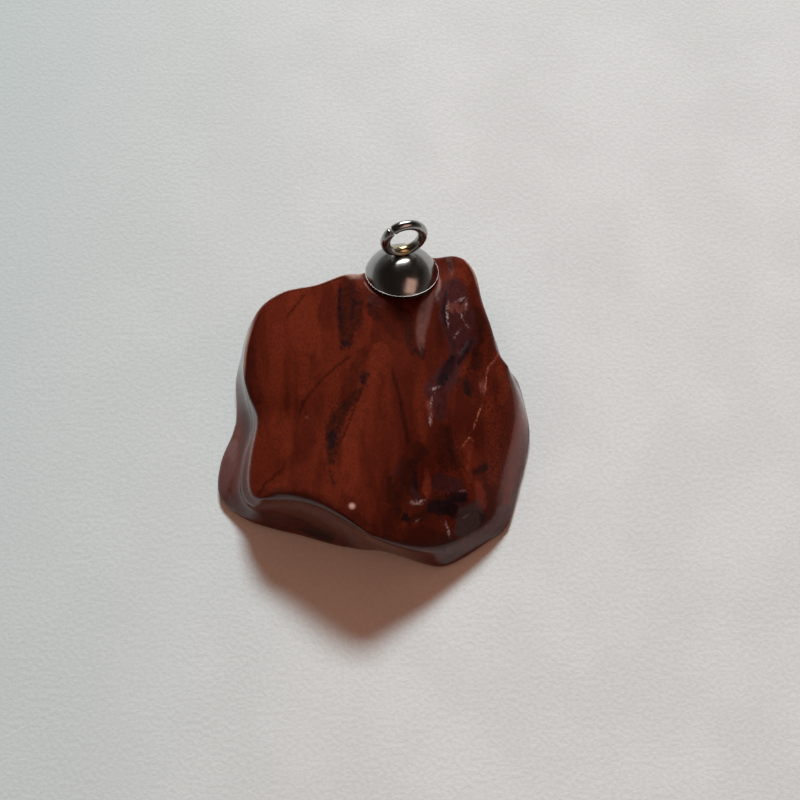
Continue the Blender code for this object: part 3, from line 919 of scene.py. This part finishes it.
@dataclass
class JasperStone(Workshop):
    """The polished freeform stone."""

    view: PhotoView
    seat: Seat
    finish: JasperFinish
    levels: int = 2
    weld: float = 1e-6
    join_angle: float = 60.0
    crease_angle: float = 50.0
    ripple: float = 0.035
    ripple_length: float = 5.0
    back_height: float = 0.4
    soft_rounds: int = 260
    soft_step: float = 0.7
    soft_fade: Pair = (0.5, 1.5)
    soft_facing: Pair = (-0.15, 0.05)
    bore_clear: float = 1.3
    seen_facing: Pair = (0.05, 0.3)
    rim_highlight_heights: Pair = (7.0, 8.2)
    edge_softness: float = 16.0
    line_reach: float = 12.0
    line_fade: Pair = (2.5, 4.5)
    line_taper: float = 4.0
    line_tip: float = 0.3

    def smooth_copy(self) -> Mesh:
        """Copy the stone's solid, join its facets into quads and smooth them.

        Returns:
            The smooth mesh.
        """
        shape = bmesh.new()
        shape.from_mesh(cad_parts["stone"].data)
        bmesh.ops.remove_doubles(shape, verts=shape.verts, dist=self.weld)
        back = [face for face in shape.faces if self.on_back(face)]
        bmesh.ops.dissolve_faces(shape, faces=back)
        facets = [face for face in shape.faces if len(face.verts) == 3]
        wide = math.radians(self.join_angle)
        bmesh.ops.join_triangles(shape, faces=facets, angle_face_threshold=wide, angle_shape_threshold=wide)
        sharp = math.radians(self.crease_angle)
        crease = shape.edges.layers.float.new("crease_edge")
        for edge in shape.edges:
            if self.on_back(edge) or (edge.is_manifold and edge.calc_face_angle() > sharp):
                edge[crease] = 1.0
        mesh = bpy.data.meshes.new("stone_cage")
        shape.to_mesh(mesh)
        shape.free()
        cage = new_object("stone_cage", mesh)
        subdivision = cage.modifiers.new("smooth", "SUBSURF")
        subdivision.levels = self.levels
        subdivision.render_levels = self.levels
        return self.bake(cage)

    @staticmethod
    def on_back(part: Any) -> bool:
        """Tell whether an edge or a face lies in the stone's flat back."""
        return all(vert.co.z < SAME_PLACE for vert in part.verts)

    def hand_polish(self, mesh: Mesh) -> None:
        """Press the faint waves of hand polishing into the stone, and leave its back flat.

        Args:
            mesh: The stone's mesh, which is changed.
        """
        places, normals = read_mesh(mesh)
        waves = np.array([noise.noise(Vector(place) / MM / self.ripple_length) for place in places])
        share = np.clip(places[:, 2] / MM / self.back_height - 1.0, 0.0, 1.0)
        depth = (0.5 + 0.5 * waves) * share * self.ripple * MM
        write_places(mesh, places - normals * depth[:, None])

    def soften(self, mesh: Mesh) -> None:
        """Round off the edges that the maker polished away, wherever SOFT_EDGES names them.

        Args:
            mesh: The stone's mesh, which is changed.
        """
        places, normals = read_mesh(mesh)
        pixels = self.view.pixels(places)
        share = np.zeros(len(places))
        for chain in SOFT_EDGES:
            distance, reach, _ = gap_to(chain, pixels)
            share = np.maximum(share, 1.0 - smooth_share(*self.soft_fade, np.abs(distance) / reach))
        share *= smooth_share(*self.soft_facing, self.view.facing(normals))
        share *= places[:, 2] > self.back_height * MM
        share *= self.seat.from_axis(places) > self.bore_clear * MM
        ends = np.zeros(len(mesh.edges) * 2, dtype=np.int32)
        mesh.edges.foreach_get("vertices", ends)
        first, second = ends.reshape(-1, 2).T
        count = np.bincount(first, minlength=len(places)) + np.bincount(second, minlength=len(places))
        for _ in range(self.soft_rounds):
            total = np.zeros_like(places)
            for axis in range(3):
                for one, other in ((first, second), (second, first)):
                    total[:, axis] += np.bincount(one, places[other, axis], len(places))
            places += (total / count[:, None] - places) * (self.soft_step * share)[:, None]
        write_places(mesh, places)

    def lines(self, chains: tuple[Chain, ...], pixels: Array) -> tuple[Array, Array]:
        """Measure where thin lines run.

        Args:
            chains: The lines.
            pixels: The vertices' places in the photograph.

        Returns:
            Each vertex's distance to the nearest line, with its sign, and how much of the line shows.
        """
        gap = np.full(len(pixels), self.line_reach)
        shown = np.zeros(len(pixels))
        for chain in chains:
            distance, _, to_end = gap_to(tuple((*place, 0.0) for place in chain), pixels)
            nearer = np.abs(distance) < np.abs(gap)
            gap = np.where(nearer, distance, gap)
            fade = 1.0 - smooth_share(*self.line_fade, np.abs(distance))
            taper = self.line_tip + (1.0 - self.line_tip) * smooth_share(0.0, self.line_taper, to_end)
            shown = np.where(nearer, fade * taper, shown)
        return gap, shown

    def patches(self, chains: tuple[Chain, ...], pixels: Array) -> Array:
        """Measure how deep inside soft markings the vertices are.

        Args:
            chains: The markings.
            pixels: The vertices' places in the photograph.

        Returns:
            A number for each vertex, from 0 outside to 1 inside.
        """
        inside = np.zeros(len(pixels))
        for chain in chains:
            distance, reach, _ = gap_to(chain, pixels)
            value = 0.5 - (np.abs(distance) - reach) / self.edge_softness
            inside = np.maximum(inside, np.clip(value, 0.0, 1.0))
        return inside

    def mark(self, mesh: Mesh) -> None:
        """Lay the markings of the photograph on the side of the stone that it shows.

        Args:
            mesh: The stone's mesh, which then carries one or two numbers for each kind.
        """
        places, normals = read_mesh(mesh)
        seen = smooth_share(*self.seen_facing, self.view.facing(normals))
        high = smooth_share(*self.rim_highlight_heights, places[:, 2] / MM)
        pixels = self.view.pixels(places)
        for kind in Mark:
            if kind in LINE_KINDS:
                gap, shown = self.lines(MARKINGS[kind], pixels)
                self.carry(mesh, kind.value + "_gap", gap)
                self.carry(mesh, kind.value + "_on", shown * seen)
            else:
                inside = self.patches(MARKINGS[kind], pixels)
                self.carry(mesh, kind.value, inside * (high if kind is Mark.RIM_HIGHLIGHT else seen))

    def carry(self, mesh: Mesh, name: str, values: Array) -> None:
        """Store one number for each of a mesh's vertices under a name."""
        layer = mesh.attributes.new(name, "FLOAT", "POINT")
        layer.data.foreach_set("value", values.astype(np.float32))

    def build(self) -> None:
        """Build the stone and dress it."""
        mesh = self.smooth_copy()
        self.soften(mesh)
        self.hand_polish(mesh)
        self.mark(mesh)
        piece = self.settle(mesh, "stone_skin", self.finish.material())
        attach(piece, "root")
        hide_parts("stone")


@dataclass
class BeadCap(Workshop):
    """The domed cap, spun from thin sheet, that covers the stone's drill hole. Sizes are millimetres."""

    seat: Seat
    finish: PlatedFinish
    radius: float = 4.25
    height: float = 2.85
    lift: float = 0.3
    wall: float = 0.4
    hole: float = 0.50
    hole_edge: float = 0.05
    lip: float = 0.11
    lip_lap: float = 0.35
    lip_angles: Pair = (60.0, -120.0)
    lip_points: int = 13
    skirt: float = 0.14
    skirt_wall: float = 0.25
    skirt_bevel: float = 0.05
    skirt_clear: float = 0.03
    arc_points: int = 40
    around: int = 160
    polish: float = 0.19

    def section(self) -> Profile:
        """Draw the cap's section.

        Returns:
            Its closed profile, as radius and height above the lip.
        """
        ball = (self.radius ** 2 + self.height ** 2) / (2 * self.height)
        centre = self.height - ball

        def arc(reach: float, start: float, end: float) -> Profile:
            """Give points of a ball's section between two distances from the axis."""
            angles = np.linspace(math.asin(start / reach), math.asin(end / reach), self.arc_points)
            return [(reach * math.sin(angle), centre + reach * math.cos(angle)) for angle in angles]

        outer = arc(ball, self.hole + self.hole_edge, self.radius - self.lip * self.lip_lap)
        bead = self.lip / 2
        middle = self.radius - bead
        angles = np.radians(np.linspace(*self.lip_angles, self.lip_points))
        rolled = [(middle + bead * math.cos(angle), bead + bead * math.sin(angle)) for angle in angles]
        foot = self.skirt_clear - self.lift
        outside = middle - self.skirt
        inside = outside - self.skirt_wall
        skirt = [(outside, 0.0), (outside, foot), (inside, foot), (inside, self.skirt_bevel)]
        inner = arc(ball - self.wall, self.hole, inside - self.skirt_bevel)[::-1]
        return outer + rolled + skirt + inner

    def build(self) -> None:
        """Turn the cap on its axis and dress it."""
        material = self.finish.material("cap_plating", self.polish)
        cap = self.turn(self.section(), True, self.radius / 2, self.around, material)
        self.stand(cap, self.seat.frame() @ Matrix.Translation((0.0, 0.0, self.lift * MM)))
        piece = self.settle(cap, "cap_skin", material)
        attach(piece, "root")
        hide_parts("bead_cap")


@dataclass
class EyePin(Workshop):
    """The wire loop on top of the cap, with the foot that holds it in the stone. Sizes are millimetres."""

    seat: Seat
    finish: PlatedFinish
    wire_radius: float = 0.56
    ring_radius: float = 2.16
    turned: float = 17.0
    lean: float = 10.0
    foot_height: float = 3.04
    gap_at: float = 132.0
    gap: float = 4.0
    easing: float = 0.016
    end_width: float = 0.65
    along: int = 200
    sides: int = 32
    shank_radius: float = 0.48
    shank_depth: float = 5.6
    bevel: float = 0.1
    collar_radius: float = 0.49
    collar_low: float = 2.75
    collar_step: Pair = (0.03, 0.04)
    crown: tuple[Pair, ...] = ((0.0, 0.05), (0.06, 0.2))
    crown_top: float = 0.2
    foot_around: int = 48
    polish: float = 0.17

    def loop(self, material: Material) -> Mesh:
        """Bend the wire into the loop.

        Args:
            material: The loop's finish.

        Returns:
            The loop's mesh, in its place.
        """
        sizes = {
            "Ring radius": self.ring_radius * MM, "Wire radius": self.wire_radius * MM,
            "Start": math.radians(self.gap_at + self.gap / 2), "Sweep": math.radians(360.0 - self.gap),
            "Along": self.along, "Sides": self.sides, "Easing": self.easing,
            "End width": self.end_width, "Finish": material,
        }
        wire = self.grow(wire_tree(), bpy.data.meshes.new("wire_start"), sizes)
        rise = self.wire_radius + self.ring_radius
        place = self.seat.frame(self.turned) @ Matrix.Translation((0.0, 0.0, self.foot_height * MM))
        upright = Matrix.Rotation(math.radians(90.0 + self.lean), 4, "X")
        return self.stand(wire, place @ upright @ Matrix.Translation((0.0, rise * MM, 0.0)))

    def foot(self, material: Material) -> Mesh:
        """Turn the foot with its collar and shank.

        Args:
            material: The foot's finish.

        Returns:
            The foot's mesh, in its place.
        """
        shank, collar, low = self.shank_radius, self.collar_radius, -self.shank_depth
        top = self.foot_height + self.wire_radius
        inward, upward = self.collar_step
        profile = [
            (0.0, low), (shank - self.bevel, low), (shank, low + self.bevel),
            (shank, self.collar_low - self.bevel), (collar - inward, self.collar_low),
            (collar, self.collar_low + upward),
            *((collar - inset, self.foot_height + height) for inset, height in self.crown),
            (collar - self.crown_top, top - self.bevel), (0.0, top - self.bevel / 2),
        ]
        turned = self.turn(profile, False, shank, self.foot_around, material)
        return self.stand(turned, self.seat.frame())

    def build(self) -> None:
        """Build the loop and its foot and dress them."""
        above = Vector((0.0, 0.0, self.foot_height + 2 * self.wire_radius))
        worn_at = self.seat.frame(self.turned) @ (above * MM)
        plating = self.finish.material("wire_plating", self.polish, worn_at)
        loop = self.settle(self.loop(plating), "eye_loop", plating)
        foot = self.settle(self.foot(plating), "eye_foot", plating)
        for piece in (loop, foot):
            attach(piece, "root")
        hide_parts("eye_pin")


class Lit(enum.Enum):
    """What a lamp lights: every surface's own colour, or only what surfaces mirror."""

    COLOUR = "colour"
    MIRRORED = "mirrored"


@dataclass(frozen=True)
class Lamp:
    """One rectangular lamp that looks at the pendant. Its size and distance are in metres."""

    name: str
    lit: Lit
    elevation: float
    azimuth: float
    distance: float
    size: Pair
    glow: Colour
    pieces: tuple[str, ...] = ()
    roll: float = 0.0

    def direction(self) -> Vector:
        """Give the direction from the pendant to the lamp; azimuth 0 is behind it, 90 to its right."""
        up, across = math.radians(self.elevation), math.radians(self.azimuth)
        return Vector((math.cos(up) * math.sin(across), math.cos(up) * math.cos(across), math.sin(up)))

    def hang(self) -> None:
        """Hang the lamp."""
        brightest = max(self.glow)
        data = bpy.data.lights.new(self.name, "AREA")
        data.shape = "RECTANGLE"
        data.size, data.size_y = self.size
        data.energy = brightest * math.pi * self.size[0] * self.size[1]
        data.color = tuple(value / brightest for value in self.glow)
        light = new_object(self.name, data)
        direction = self.direction()
        light.location = direction * self.distance
        turn = direction.to_track_quat("Z", "Y") @ Quaternion((0.0, 0.0, 1.0), math.radians(self.roll))
        light.rotation_euler = turn.to_euler()
        light.visible_camera = False
        light.visible_glossy = self.lit is Lit.MIRRORED
        light.visible_diffuse = self.lit is Lit.COLOUR
        if self.pieces:
            chosen = bpy.data.collections.new(self.name + "_pieces")
            for name in self.pieces:
                chosen.objects.link(bpy.data.objects[name])
            light.light_linking.receiver_collection = chosen


@dataclass
class Studio(Workshop):
    """The pale table, the window light from behind the pendant, and the room's warm shade."""

    floor_finish: FloorFinish
    floor_half: float = 0.6
    floor_height: float = -0.00001
    low_sky: Colour = (0.12, 0.11, 0.10)
    high_sky: Colour = (0.022, 0.016, 0.013)
    sky_turns: Pair = (0.10, 0.50)

    def lamps(self) -> list[Lamp]:
        """List the lamps.

        Returns:
            The window, its gleam on plating, the room's warm fill and a warm card's reflection.
        """
        plated = ("cap_skin", "eye_loop", "eye_foot")
        window = (89.0, 106.5, 111.0)
        warm = (0.98, 0.59, 0.48)
        return [
            Lamp("window", Lit.COLOUR, 37.5, 0.0, 1.5, (0.40, 0.225), window),
            Lamp("window_gleam", Lit.MIRRORED, 33.0, 3.5, 1.5, (0.95, 1.00), (5.5, 5.6, 5.6), plated),
            Lamp("room_fill", Lit.COLOUR, 90.0, 0.0, 0.8, (3.0, 3.0), (0.36, 0.165, 0.11)),
            Lamp("warm_card", Lit.MIRRORED, 50.0, 134.0, 0.4, (0.30, 0.21), warm, plated, roll=38.0),
        ]

    def floor(self) -> None:
        """Lay the table."""
        half, height = self.floor_half, self.floor_height
        corners = [(x, y, height) for x, y in ((-half, -half), (half, -half), (half, half), (-half, half))]
        mesh = bpy.data.meshes.new("table")
        mesh.from_pydata(corners, [], [(0, 1, 2, 3)])
        table = self.settle(mesh, "table", self.floor_finish.material())

    def sky(self) -> None:
        """Give the room a dark ceiling and dim walls."""
        world = bpy.data.worlds.new("room")
        world.use_nodes = True
        bench = Bench(world.node_tree)
        bench.tree.nodes.clear()
        height = bench.axis(bench.add("ShaderNodeTexCoord").outputs["Generated"], "Z")
        colour = bench.blend(bench.band(height, *self.sky_turns), self.low_sky, self.high_sky)
        glow = bench.add("ShaderNodeBackground", {"Color": colour, "Strength": 1.0}).outputs[0]
        bench.add("ShaderNodeOutputWorld", {"Surface": glow})
        bpy.context.scene.world = world

    def build(self) -> None:
        """Set up the table, the lamps and the room."""
        self.floor()
        for lamp in self.lamps():
            lamp.hang()
        self.sky()
        bpy.context.scene.view_settings.view_transform = "Standard"


def main() -> None:
    """Build the pendant and its studio."""
    logging.basicConfig(level=logging.INFO, format="%(message)s")
    view = PhotoView()
    view.place_camera()
    seat = Seat()
    plating = PlatedFinish()
    JasperStone(view, seat, JasperFinish()).build()
    BeadCap(seat, plating).build()
    EyePin(seat, plating).build()
    Studio(FloorFinish()).build()


if __name__ == "__main__":
    main()
